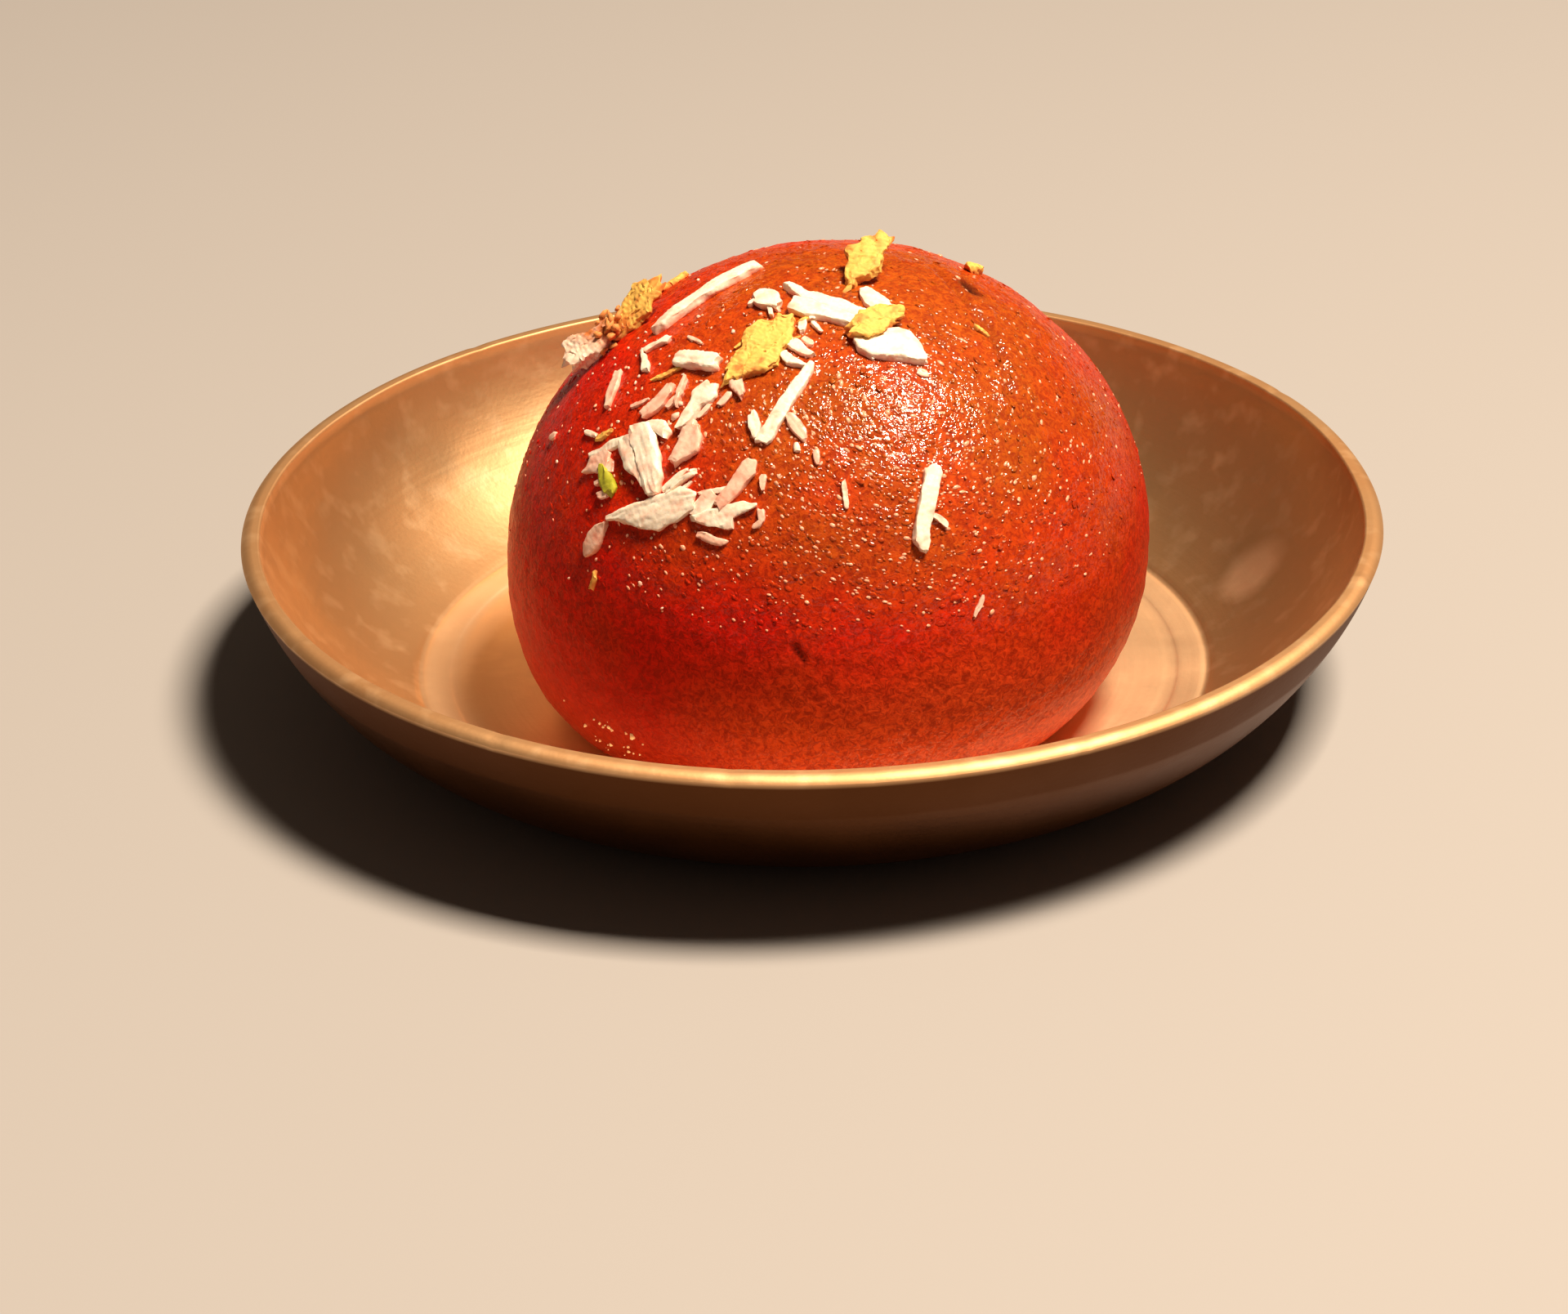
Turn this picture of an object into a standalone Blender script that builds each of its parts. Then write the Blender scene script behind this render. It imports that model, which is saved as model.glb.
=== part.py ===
"""Gulab jamun: one syrup-soaked milk-dough ball, strewn with slivered nuts, in its own small brass dish.

Metres, +Z up. The origin is the middle of the dish's flat underside, and the dish's axis is Z. Places on the
ball are given as a bearing, in degrees round it from its front (-Y) towards +X, and a rise, in degrees from its
widest level (0) to its top (90) or down to its flat base (-90).
"""

import math

import bmesh
import bpy
from mathutils import Matrix, Vector

MM = 0.001
GAP = 0.3 * MM  # room kept between pieces that touch

# The dish: spun brass, flat underneath, a level floor with two rings, a bowed wall and a plain rounded lip.
DISH_RADIUS = 45 * MM
DISH_HEIGHT = 14.7 * MM
FLOOR_LEVEL = 1.2 * MM
INNER_RING_RADIUS = 29 * MM
FLOOR_RADIUS = 31.6 * MM
FLOOR_EDGE_RISE = 0.25 * MM
LIP_WIDTH = 1.5 * MM
LIP_ROUNDING = 0.35 * MM
FOOT_RADIUS = 31 * MM
WALL_TURN = math.radians(52)  # how much steeper the wall is at the lip than at the floor
DISH_SIDES = 96
WALL_STEPS = 9

# The ball: sagged under its own weight onto a broad flat base, a little forward in the dish, leaning to the right.
BALL_RADIUS = 25.1 * MM
BALL_BASE_RADIUS = 17.7 * MM
BALL_FORWARD = 5 * MM
BALL_FOOT_ASIDE = 0.15 * MM
BALL_LEAN = 1.8 * MM
BALL_LEAN_POWER = 0.7
BALL_BASE_LEVEL = FLOOR_LEVEL + GAP
BALL_WIDEST_LEVEL = 13.1 * MM
BALL_TOP_LEVEL = 37.3 * MM
BALL_LUMPS = 0.18 * MM
BALL_SIDES = 48
BALL_RINGS = 28

# The nuts: cut slivers and torn flakes, six-sided in section and bent to the ball.
PIECE_STEPS = 6
PIECE_BEND_RADIUS = 27 * MM
PIECE_WAVE = 0.13

COLOURS = {
    "brass": ((0.60, 0.33, 0.13), 0.34, 1.0),
    "dough": ((0.52, 0.07, 0.02), 0.25, 0.0),
    "almond": ((0.93, 0.80, 0.62), 0.5, 0.0),
    "soaked_almond": ((0.83, 0.42, 0.28), 0.4, 0.0),
    "golden_flake": ((0.86, 0.55, 0.14), 0.6, 0.0),
    "pistachio": ((0.42, 0.46, 0.05), 0.5, 0.0),
}


def clear_scene():
    for obj in list(bpy.context.scene.objects):
        bpy.data.objects.remove(obj, do_unlink=True)


def make_collection(name):
    collection = bpy.data.collections.new(name)
    bpy.context.scene.collection.children.link(collection)
    return collection


def make_materials():
    for name, (colour, roughness, metallic) in COLOURS.items():
        material = bpy.data.materials.new(name)
        material.use_nodes = True
        shader = material.node_tree.nodes["Principled BSDF"]
        shader.inputs["Base Color"].default_value = (*colour, 1.0)
        shader.inputs["Roughness"].default_value = roughness
        shader.inputs["Metallic"].default_value = metallic
        material.diffuse_color = (*colour, 1.0)


def add_object(collection, name, mesh, material):
    obj = bpy.data.objects.new(name, mesh)
    obj.data.materials.append(bpy.data.materials[material])
    collection.objects.link(obj)
    return obj


def arc(start, end, turn, steps):
    """Points of the circular arc from start to end that turns left by this angle, or right if it is negative."""
    start, end = Vector(start), Vector(end)
    chord = end - start
    radius = chord.length / (2 * math.sin(turn / 2))
    to_centre = Vector((-chord.y, chord.x)).normalized() * radius * math.cos(turn / 2)
    centre = (start + end) / 2 + to_centre
    spoke = start - centre
    first = math.atan2(spoke.y, spoke.x)
    angles = [first + turn * step / steps for step in range(steps + 1)]
    return [(centre.x + spoke.length * math.cos(a), centre.y + spoke.length * math.sin(a)) for a in angles]


def dish_profile():
    """(radius, height) from the middle of the floor, up the inside, over the lip, and down the outside to the base."""
    floor_edge = (FLOOR_RADIUS, FLOOR_LEVEL + FLOOR_EDGE_RISE)
    lip_inside = (DISH_RADIUS - LIP_WIDTH, DISH_HEIGHT - LIP_ROUNDING)
    lip_outside = (DISH_RADIUS, DISH_HEIGHT - LIP_ROUNDING)
    inside_wall = arc(floor_edge, lip_inside, WALL_TURN, WALL_STEPS)
    outside_wall = arc(lip_outside, (FOOT_RADIUS, 0), -WALL_TURN, WALL_STEPS)
    lip_top = [
        (lip_inside[0] + LIP_ROUNDING, DISH_HEIGHT),
        (DISH_RADIUS - LIP_ROUNDING, DISH_HEIGHT),
    ]
    floor = [(0, FLOOR_LEVEL), (INNER_RING_RADIUS, FLOOR_LEVEL)]
    return floor + inside_wall + lip_top + outside_wall + [(0, 0)]


def make_dish(collection):
    """The profile turned once round Z."""
    profile = [(radius, 0, height) for radius, height in dish_profile()]
    edges = [(i, i + 1) for i in range(len(profile) - 1)]
    mesh = bpy.data.meshes.new("dish")
    mesh.from_pydata(profile, edges, [])
    dish = add_object(collection, "dish", mesh, "brass")
    turned = dish.modifiers.new("Turned", "SCREW")
    turned.axis = "Z"
    turned.angle = math.tau
    turned.steps = DISH_SIDES
    turned.render_steps = DISH_SIDES
    turned.use_merge_vertices = True
    turned.merge_threshold = 0.01 * MM
    turned.use_smooth_shade = True


def ball_middle(height):
    """How far right of the dish's middle the ball's own middle lies at this height: it leans most low down."""
    share = (height - BALL_BASE_LEVEL) / (BALL_TOP_LEVEL - BALL_BASE_LEVEL)
    return BALL_FOOT_ASIDE + BALL_LEAN * math.sin(math.pi / 2 * max(share, 0) ** BALL_LEAN_POWER)


def ball_lumps(bearing, rise):
    """Slow swells of the rolled dough, which fade out towards the top and the base."""
    around = math.sin(3 * bearing + 0.5)
    slanted = math.sin(2 * bearing - 4 * rise)
    return BALL_LUMPS * (around * math.cos(rise) + 0.6 * slanted) * math.cos(rise)


def ball_point(bearing, rise):
    """A point of the ball's surface: half an ellipse above the widest level, and a flat-bottomed sag below it."""
    if rise >= 0:
        reach = BALL_RADIUS * math.cos(rise)
        height = BALL_WIDEST_LEVEL + (BALL_TOP_LEVEL - BALL_WIDEST_LEVEL) * math.sin(rise)
    else:
        reach = BALL_BASE_RADIUS + (BALL_RADIUS - BALL_BASE_RADIUS) * math.cos(rise)
        height = BALL_WIDEST_LEVEL + (BALL_WIDEST_LEVEL - BALL_BASE_LEVEL) * math.sin(rise)
    reach += ball_lumps(bearing, rise)
    x = ball_middle(height) + reach * math.sin(bearing)
    y = -BALL_FORWARD - reach * math.cos(bearing)
    return Vector((x, y, height))


def make_ball(collection):
    """A sphere whose rings above the equator take rises 90 to 0, and those below it take 0 to -90."""
    shape = bmesh.new()
    bmesh.ops.create_uvsphere(shape, u_segments=BALL_SIDES, v_segments=BALL_RINGS, radius=1)
    lowest_ring = math.pi / 2 * (1 - 2 / BALL_RINGS)
    for vert in shape.verts:
        latitude = math.asin(max(-1.0, min(1.0, vert.co.z)))
        bearing = math.atan2(vert.co.x, -vert.co.y)
        if latitude < -lowest_ring - 0.01:
            vert.co = Vector((BALL_FOOT_ASIDE, -BALL_FORWARD, BALL_BASE_LEVEL))
        elif latitude < 0:
            vert.co = ball_point(bearing, latitude / lowest_ring * math.pi / 2)
        else:
            vert.co = ball_point(bearing, latitude)
    mesh = bpy.data.meshes.new("gulab_jamun")
    shape.to_mesh(mesh)
    shape.free()
    mesh.shade_smooth()
    add_object(collection, "gulab_jamun", mesh, "dough")


def ball_frame(bearing, rise, heading):
    """A frame standing on the ball, with X along the heading (0 is towards +bearing, 90 uphill) and Z outwards."""
    small = math.radians(0.5)
    place = ball_point(bearing, rise)
    eastward = (ball_point(bearing + small, rise) - ball_point(bearing - small, rise)).normalized()
    uphill = (ball_point(bearing, rise + small) - ball_point(bearing, rise - small)).normalized()
    outward = eastward.cross(uphill).normalized()
    along = (Matrix.Rotation(heading, 3, outward) @ eastward).normalized()
    frame = Matrix((along, outward.cross(along), outward)).transposed().to_4x4()
    return Matrix.Translation(place) @ frame


def piece_mesh(name, length, width, thickness, taper, tip):
    """A six-sided bar along X, its width running out to tip at its ends, wavy, and bent to the ball's curve.

    A high taper keeps the bar wide to its ends, as on a cut sliver, and a taper near 2 makes it a leaf.
    """
    shape = bmesh.new()
    bmesh.ops.create_cone(shape, cap_ends=True, segments=6, radius1=1, radius2=1, depth=2)
    long_edges = [e for e in shape.edges if abs(e.verts[0].co.z - e.verts[1].co.z) > 1]
    bmesh.ops.subdivide_edges(shape, edges=long_edges, cuts=PIECE_STEPS - 1, use_grid_fill=True)
    phase = 40 * (length + width) / MM
    for vert in shape.verts:
        side, up, along = -vert.co.y, vert.co.x / math.cos(math.pi / 6), vert.co.z
        narrowing = tip + (1 - tip) * (1 - abs(along) ** taper)
        wave = 1 + PIECE_WAVE * math.sin(5 * along + phase + 2 * side)
        x = along * length / 2 * (1 - 0.12 * side * math.sin(phase))
        y = math.copysign(abs(side) ** 0.5, side) * width / 2 * narrowing * wave
        y += 0.15 * width * math.sin(2 * along + phase)
        z = (up + 1) / 2 * thickness * (0.8 + 0.2 * math.cos(3 * along + phase))
        vert.co = Vector((x, y, z - (x * x + y * y) / (2 * PIECE_BEND_RADIUS)))
    mesh = bpy.data.meshes.new(name)
    shape.to_mesh(mesh)
    shape.free()
    return mesh


def add_piece(collection, material, name, place, size, taper=5.0, tip=0.35, lift=0.0, roll=0, pitch=0):
    """One piece of nut. place is (bearing, rise, heading) in degrees, and size (length, width, thickness) in mm.

    roll tips it about its length and pitch lifts its far end, in degrees. lift raises the whole piece, in mm.
    """
    bearing, rise, heading = (math.radians(angle) for angle in place)
    length, width, thickness = (measure * MM for measure in size)
    mesh = piece_mesh(name, length, width, thickness, taper, tip)
    piece = add_object(collection, name, mesh, material)
    tipped = Matrix.Rotation(math.radians(-pitch), 4, "Y") @ Matrix.Rotation(math.radians(roll), 4, "X")
    raised = Matrix.Translation((0, 0, GAP + lift * MM))
    piece.matrix_world = ball_frame(bearing, rise, heading) @ raised @ tipped


def make_almonds(collection):
    """Blanched almond, cut into slivers and chips: cream white where it has stayed dry."""
    def almond(name, place, size, **shape):
        add_piece(collection, "almond", name, place, size, **shape)

    almond("almond_blade_long", (-82.5, 67.3, 108), (9.4, 1.5, 0.7), taper=3, tip=0.3)
    almond("almond_blade_broad", (-39, 29, 25), (7.4, 2.2, 0.7), taper=2.2, tip=0.15)
    almond("almond_slab", (-6.5, 76, -33), (7.2, 2.4, 0.8), taper=4)
    almond("almond_wedge", (22, 64, -40), (5.6, 2.4, 0.8), taper=2.4, tip=0.25)
    almond("almond_bright", (-45, 38, -43), (5.8, 1.4, 0.8))
    almond("almond_chip_left", (-48.5, 35.2, -32), (3.4, 1.1, 0.6))
    almond("almond_chip_top", (-45, 43, -2), (1.7, 1.0, 0.6))
    almond("almond_block", (-48.5, 56.5, 21), (4.0, 1.2, 0.8), taper=7, tip=0.5)
    almond("almond_hook", (-66.5, 53.8, 110), (2.6, 1.0, 0.6))
    almond("almond_stub", (-47, 74, 20), (2.4, 1.1, 0.6), taper=7)
    almond("almond_shred_top", (37, 76, -78), (3.2, 0.9, 0.6))
    almond("almond_shred_middle", (-12, 63.5, -23), (3.0, 1.0, 0.6))
    almond("almond_needle", (-14.5, 52.5, 69), (6.8, 1.0, 0.6), taper=6)
    almond("almond_needle_foot", (-21.8, 48.6, -61), (1.7, 0.8, 0.6))
    almond("almond_nub", (18, 32.5, 67), (6.0, 1.1, 0.8), taper=8, tip=0.6)
    almond("almond_fork_low", (-23, 30, 27), (5.0, 1.2, 0.7), taper=3)
    almond("almond_fork_high", (-27, 33, 50), (2.6, 1.0, 0.6), taper=3)
    almond("almond_bone", (-40, 49.5, 84), (3.6, 1.0, 0.7), taper=8, tip=0.6)
    almond("almond_thread", (-58.5, 35.5, 49), (2.8, 0.7, 0.5))


def make_soaked_almonds(collection):
    """The same slivers where syrup has soaked in and turned them pink."""
    def soaked(name, place, size, **shape):
        add_piece(collection, "soaked_almond", name, place, size, **shape)

    soaked("soaked_tongue", (-22, 38, 60), (3.7, 1.2, 0.6), taper=3)
    soaked("soaked_chunk", (-36.5, 42.2, 75), (2.7, 1.4, 0.7), taper=4)
    soaked("soaked_bundle", (-50.5, 47.5, 75), (3.5, 1.5, 0.6), taper=4)
    soaked("soaked_shred", (-57, 31.5, 46), (3.2, 1.0, 0.5))
    soaked("soaked_oval", (-49, 20.2, 69), (2.7, 1.0, 0.6), taper=3)
    soaked("soaked_side", (-9.3, 49, -50), (2.4, 0.7, 0.5))
    soaked("soaked_stub", (-28.5, 54.5, -40), (2.0, 0.8, 0.5))
    soaked("soaked_stub_left", (-70, 43.5, -50), (2.6, 1.0, 0.6), taper=4)


def make_flakes(collection):
    """Torn golden flakes, thin and ragged, of which some stand on edge, and one bit of green pistachio."""
    def flake(name, place, size, **shape):
        add_piece(collection, "golden_flake", name, place, size, **shape)

    flake("flake_flat", (-29, 63, 74), (6.6, 2.3, 0.6), taper=3)
    flake("flake_curl", (26, 69, -10), (3.0, 1.2, 0.8), taper=3)
    flake("flake_crest", (60, 85, 8), (4.6, 2.6, 0.7), taper=3, lift=1.15, pitch=28)
    flake("flake_standing", (-94, 56, 108), (4.8, 3.2, 0.7), taper=4, lift=1.1, roll=25, pitch=18)
    flake("flake_overhang", (-92.5, 44.5, 108), (4.2, 3.6, 0.8), taper=4, lift=0.9, roll=30)
    add_piece(collection, "pistachio", "pistachio_bit", (-50.9, 31.6, -54), (1.6, 1.3, 0.8), taper=3, tip=0.5)


def main():
    clear_scene()
    make_materials()
    collection = make_collection("gulab_jamun_in_dish")
    make_dish(collection)
    make_ball(collection)
    make_almonds(collection)
    make_soaked_almonds(collection)
    make_flakes(collection)


main()
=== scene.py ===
# %% [markdown]
# # A gulab jamun in its brass dish
#
# A gulab jamun is a ball of milk dough, fried until its crust is brown-red and then soaked in sugar syrup.
# This one sits in a small spun-brass dish and is strewn with slivered almonds and torn golden flakes. The
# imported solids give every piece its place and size. This lesson gives them their looks: numpy works each
# surface out as a grid of points, and node materials give it its finish.

# %% Load the solids and keep their box
import math

import bmesh
import bpy
import numpy as np
from mathutils import Matrix, Vector


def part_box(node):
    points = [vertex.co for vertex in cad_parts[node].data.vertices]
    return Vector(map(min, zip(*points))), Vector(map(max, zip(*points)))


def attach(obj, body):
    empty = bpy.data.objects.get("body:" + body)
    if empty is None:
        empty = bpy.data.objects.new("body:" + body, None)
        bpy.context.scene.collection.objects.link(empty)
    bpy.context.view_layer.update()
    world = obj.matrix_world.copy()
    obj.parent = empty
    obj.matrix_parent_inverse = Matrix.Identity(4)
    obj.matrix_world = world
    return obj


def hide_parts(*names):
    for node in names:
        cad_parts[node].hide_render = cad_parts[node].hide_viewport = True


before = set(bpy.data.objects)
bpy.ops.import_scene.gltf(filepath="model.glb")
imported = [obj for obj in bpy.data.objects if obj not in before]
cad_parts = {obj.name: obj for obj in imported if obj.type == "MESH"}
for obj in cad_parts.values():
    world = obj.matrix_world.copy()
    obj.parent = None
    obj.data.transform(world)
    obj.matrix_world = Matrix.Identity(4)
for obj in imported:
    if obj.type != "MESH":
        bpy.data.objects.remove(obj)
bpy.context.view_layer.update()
MM = 0.001

# %% [markdown]
# ## Helpers for surfaces
#
# Every new piece is a grid of points: one parameter runs along it and the other round it. A closed grid
# joins its last column to its first. Numpy works out all points at once, and the faces are index arithmetic
# on the grid. A cheap way to get natural unevenness is a sum of many plane waves of one wavelength in
# random directions: it is smooth, it has one size of bump, and a seeded generator gives the same bumps each
# time.


# %% Grid faces and wave noise
def grid_faces(rows, columns, closed=True):
    """The corner indices of each square of a grid whose point (i, j) has index i * columns + j."""
    row = np.arange(rows - 1)[:, None] * columns
    here = np.arange(columns if closed else columns - 1)[None, :]
    right = (here + 1) % columns
    corners = np.stack([row + here, row + right, row + columns + right, row + columns + here], axis=-1)
    return corners.reshape(-1, 4)


def waves(points, wavelength, seed, count=40):
    """Smooth noise, about -1 to 1, at (..., 3) points: sines of random plane waves, over their count's root.

    All waves have about the given wavelength, so the noise has bumps of that one size.
    """
    random = np.random.default_rng(seed)
    direction = random.normal(size=(count, 3))
    direction /= np.linalg.norm(direction, axis=1, keepdims=True)
    number = math.tau / (wavelength * random.uniform(0.8, 1.3, count))
    phase = random.uniform(0, math.tau, count)
    total = np.zeros(points.shape[:-1])
    for k in range(count):
        total += np.sin(points @ direction[k] * number[k] + phase[k])
    return total / math.sqrt(count)


def smoothstep(low, high, values):
    """0 below low, 1 above high and an S-curve between them, also with low above high."""
    share = np.clip((values - low) / (high - low), 0, 1)
    return share * share * (3 - 2 * share)


# %% [markdown]
# `from_pydata` takes the points and faces of a mesh as whole arrays, and `foreach_set` does the same for a
# value kept at each point. Poles are rings whose points all lie at one place, so `remove_doubles` merges
# each of them to one point and drops the faces that have become lines.


# %% Make a mesh from arrays
def add_mesh(name, points, faces, material, sharp_degrees=None, attributes=None):
    """A smooth-shaded object at the origin, on the root body, from points and each face's four corners."""
    mesh = bpy.data.meshes.new(name)
    mesh.from_pydata(points.reshape(-1, 3), [], faces)
    for label, values in (attributes or {}).items():
        layer = mesh.attributes.new(label, "FLOAT", "POINT")
        layer.data.foreach_set("value", values.astype(np.float32).ravel())
    merge_poles(mesh)
    mesh.shade_smooth()
    if sharp_degrees:
        mesh.set_sharp_from_angle(angle=math.radians(sharp_degrees))
    mesh.materials.append(material)
    piece = bpy.data.objects.new(name, mesh)
    bpy.context.scene.collection.objects.link(piece)
    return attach(piece, "root")


def merge_poles(mesh):
    """Merges points that lie within a thousandth of a millimetre, which closes poles and end caps."""
    shape = bmesh.new()
    shape.from_mesh(mesh)
    bmesh.ops.remove_doubles(shape, verts=shape.verts, dist=0.001 * MM)
    shape.to_mesh(mesh)
    shape.free()


# %% [markdown]
# ## Helpers for materials
#
# Colours are written as the sRGB hex values that an eye or a colour picker gives, and one function turns
# them to the linear values that the renderer wants. One more function adds a shader node, with its settings
# and its links.


# %% Colour and node helpers
def linear(hex_colour):
    """Linear RGBA of an sRGB colour such as "#C08A50": the dark end is divided, the rest is raised to 2.4."""
    values = [int(hex_colour[k:k + 2], 16) / 255 for k in (1, 3, 5)]
    return [v / 12.92 if v <= 0.04045 else ((v + 0.055) / 1.055) ** 2.4 for v in values] + [1.0]


def add_node(material, kind, inputs=None, **settings):
    """Adds a node, sets its properties, and gives each named or numbered input a value or a link.

    It returns the node's output. Of sockets that share a name, the one in use is taken.
    """
    node = material.node_tree.nodes.new(kind)
    output = settings.pop("output", None)
    for name, value in settings.items():
        setattr(node, name, value)
    for name, value in (inputs or {}).items():
        socket = next(s for k, s in enumerate(node.inputs) if name in (k, s.name) and s.enabled)
        if isinstance(value, bpy.types.NodeSocket):
            material.node_tree.links.new(value, socket)
        else:
            socket.default_value = value
    return next(s for s in node.outputs if s.enabled and output in (None, s.name))


def new_material(name, values):
    """A material whose Principled shader has these values set on its own sockets."""
    material = bpy.data.materials.new(name)
    material.use_nodes = True
    shader = material.node_tree.nodes["Principled BSDF"]
    for label, value in values.items():
        shader.inputs[label].default_value = value
    return material


def connect(material, links):
    """Links each named input of the material's Principled shader from its socket."""
    shader = material.node_tree.nodes["Principled BSDF"]
    for label, socket in links.items():
        material.node_tree.links.new(socket, shader.inputs[label])


def per_mm(size):
    """A texture's Scale that makes its features this many millimetres across: coordinates are metres."""
    return 1 / (size * MM)


# %% Measures of the dish, whose rim and height are read from its solid
dish_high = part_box("dish")[1]
RIM = dish_high.x
HEIGHT = dish_high.z
FLOOR = 1.2 * MM
INNER_RING = 29 * MM
FLOOR_EDGE = 31.6 * MM
FOOT = 31 * MM
LIP = 1.5 * MM
LIP_ROUNDING = 0.2 * MM
LIP_SLOPE = 0.9 * MM
LIP_DROP = 0.5 * MM
WALL_TURN = math.radians(52)
SIDES = 420
PAINTED_REFLECTION_PLACE = (35.6 * MM, 7.4 * MM, 0)
print("dish: rim", round(RIM / MM, 2), "mm out,", round(HEIGHT / MM, 2), "mm high")

# %% [markdown]
# ## Spun brass
#
# The dish is brass sheet, spun on a lathe and then dulled by handling. Brass is a metal, so it has no
# colour of its own but a warm tint on what it reflects. Tarnish browns it in soft patches and small spots
# stay paler. The floor of the well is painted paler, a painted highlight that also hides the ball's red
# reflection in it, and it is a little rougher. One ragged patch on the right wall is painted paler and
# rougher too: a painted reflection. The satin finish spreads a lamp's reflection over the whole well. The
# outside is painted a darker brown: painted shade. The lip was cut with a coarser tool, so it is rougher
# and slightly browner. Lathe lines are rings, so their noise reads the distance from the axis.


# %% The brass material
def make_brass():
    """Satin brass: a tint overlaid with paler and darker places, and bump from grain and lathe rings."""
    brass = new_material("spun_brass_satin_tarnished", {"Metallic": 1.0})
    place = add_node(brass, "ShaderNodeTexCoord", output="Object")
    flat = add_node(brass, "ShaderNodeVectorMath", {0: place, 1: (1, 1, 0)}, operation="MULTIPLY")
    radius = add_node(brass, "ShaderNodeVectorMath", {0: flat}, operation="LENGTH", output="Value")
    patches = add_node(brass, "ShaderNodeTexNoise", {"Vector": place, "Scale": per_mm(9), "Detail": 3})
    spots = add_node(brass, "ShaderNodeTexNoise", {"Vector": place, "Scale": per_mm(2.4)})
    grain = add_node(brass, "ShaderNodeTexNoise", {"Vector": place, "Scale": per_mm(0.4)})
    rings = add_node(brass, "ShaderNodeTexNoise", {"W": radius, "Scale": per_mm(0.5)},
                     noise_dimensions="1D")
    browned = add_node(brass, "ShaderNodeMapRange", {"Value": patches, "From Min": 0.35, "From Max": 0.7})
    pale = add_node(brass, "ShaderNodeMapRange", {"Value": spots, "From Min": 0.52, "From Max": 0.7,
                                                  "To Max": 0.6})
    tint = add_node(brass, "ShaderNodeMix", {"Factor": browned, "A": linear("#EBBF8E"),
                                             "B": linear("#CFA274")},
                    data_type="RGBA")
    # The well's floor is painted paler: a painted highlight, which also hides the ball's red reflection.
    well = add_node(brass, "ShaderNodeMapRange", {"Value": radius, "From Min": FLOOR_EDGE - 0.3 * MM,
                                                  "From Max": FLOOR_EDGE + 0.3 * MM, "To Min": 0.7,
                                                  "To Max": 0})
    # A ragged patch on the right wall is painted paler: a painted reflection.
    away = add_node(brass, "ShaderNodeVectorMath", {0: flat, 1: PAINTED_REFLECTION_PLACE}, operation="DISTANCE",
                    output="Value")
    ragged = add_node(brass, "ShaderNodeMapRange",
                      {"Value": patches, "To Min": -2.5 * MM, "To Max": 2.5 * MM})
    away = add_node(brass, "ShaderNodeMath", {0: away, 1: ragged}, operation="ADD")
    painted_reflection = add_node(brass, "ShaderNodeMapRange",
                     {"Value": away, "From Min": 1.2 * MM, "From Max": 2.8 * MM,
                                                   "To Min": 0.5, "To Max": 0})
    lip = add_node(brass, "ShaderNodeMapRange", {"Value": radius, "From Min": RIM - LIP - 0.2 * MM,
                                                 "From Max": RIM - LIP})
    handled = add_node(brass, "ShaderNodeMath", {0: lip, 1: 0.15}, operation="MULTIPLY")
    # The outside is painted a darker brown in the last mix: painted shade.
    outside = add_node(brass, "ShaderNodeAttribute", attribute_name="outside", output="Fac")
    for share, colour in ((pale, "#F5D0A4"), (well, "#FFE0BA"), (painted_reflection, "#FFDDBC"), (handled, "#B47E50"),
                          (outside, "#5E3619")):
        tint = add_node(brass, "ShaderNodeMix", {"Factor": share, "A": tint, "B": linear(colour)},
                        data_type="RGBA")
    rough = add_node(brass, "ShaderNodeMapRange", {"Value": patches, "From Min": 0.3, "From Max": 0.7,
                                                   "To Min": 0.40, "To Max": 0.50})
    rough = add_node(brass, "ShaderNodeMath", {0: rough, 1: handled}, operation="ADD")
    rougher_floor_and_patch = add_node(brass, "ShaderNodeMath", {0: painted_reflection, 1: well}, operation="ADD")
    rougher_floor_and_patch = add_node(brass, "ShaderNodeMath", {0: rougher_floor_and_patch, 1: 0.13}, operation="MULTIPLY")
    rough = add_node(brass, "ShaderNodeMath", {0: rough, 1: rougher_floor_and_patch}, operation="ADD")
    relief = add_node(brass, "ShaderNodeMath", {0: grain, 1: rings}, operation="ADD")
    bump = add_node(brass, "ShaderNodeBump", {"Height": relief, "Strength": 0.35, "Distance": 0.03 * MM})
    connect(brass, {"Base Color": tint, "Roughness": rough, "Normal": bump})
    return brass


brass = make_brass()

# %% [markdown]
# ## The dish
#
# A turned shape is a profile carried once round an axis. Its profile runs from the middle of the floor,
# over two faint lathe rings, up the bowed wall, over a flat lip with a fine crease inside it, and down the
# outside. The lip has been knocked here and there, so a few small nicks are pressed into it.

# %% The profile of the dish
def arc(start, end, turn, steps):
    """Points of the circular arc from start to end that turns left by this angle, without its last point.

    The radius is half the chord over the sine of half the turn. The centre lies on the chord's left normal.
    """
    start, end = np.array(start), np.array(end)
    chord = end - start
    length = np.hypot(*chord)
    radius = length / (2 * math.sin(turn / 2))
    centre = (start + end) / 2 + np.array([-chord[1], chord[0]]) / length * radius * math.cos(turn / 2)
    first = math.atan2(*(start - centre)[::-1])
    angles = first + turn * np.arange(steps) / steps
    return centre + abs(radius) * np.stack([np.cos(angles), np.sin(angles)], axis=1)


def line(start, end, steps):
    """Points that divide a straight line evenly, without its last point."""
    share = np.arange(steps)[:, None] / steps
    return np.array(start) * (1 - share) + np.array(end) * share


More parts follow.
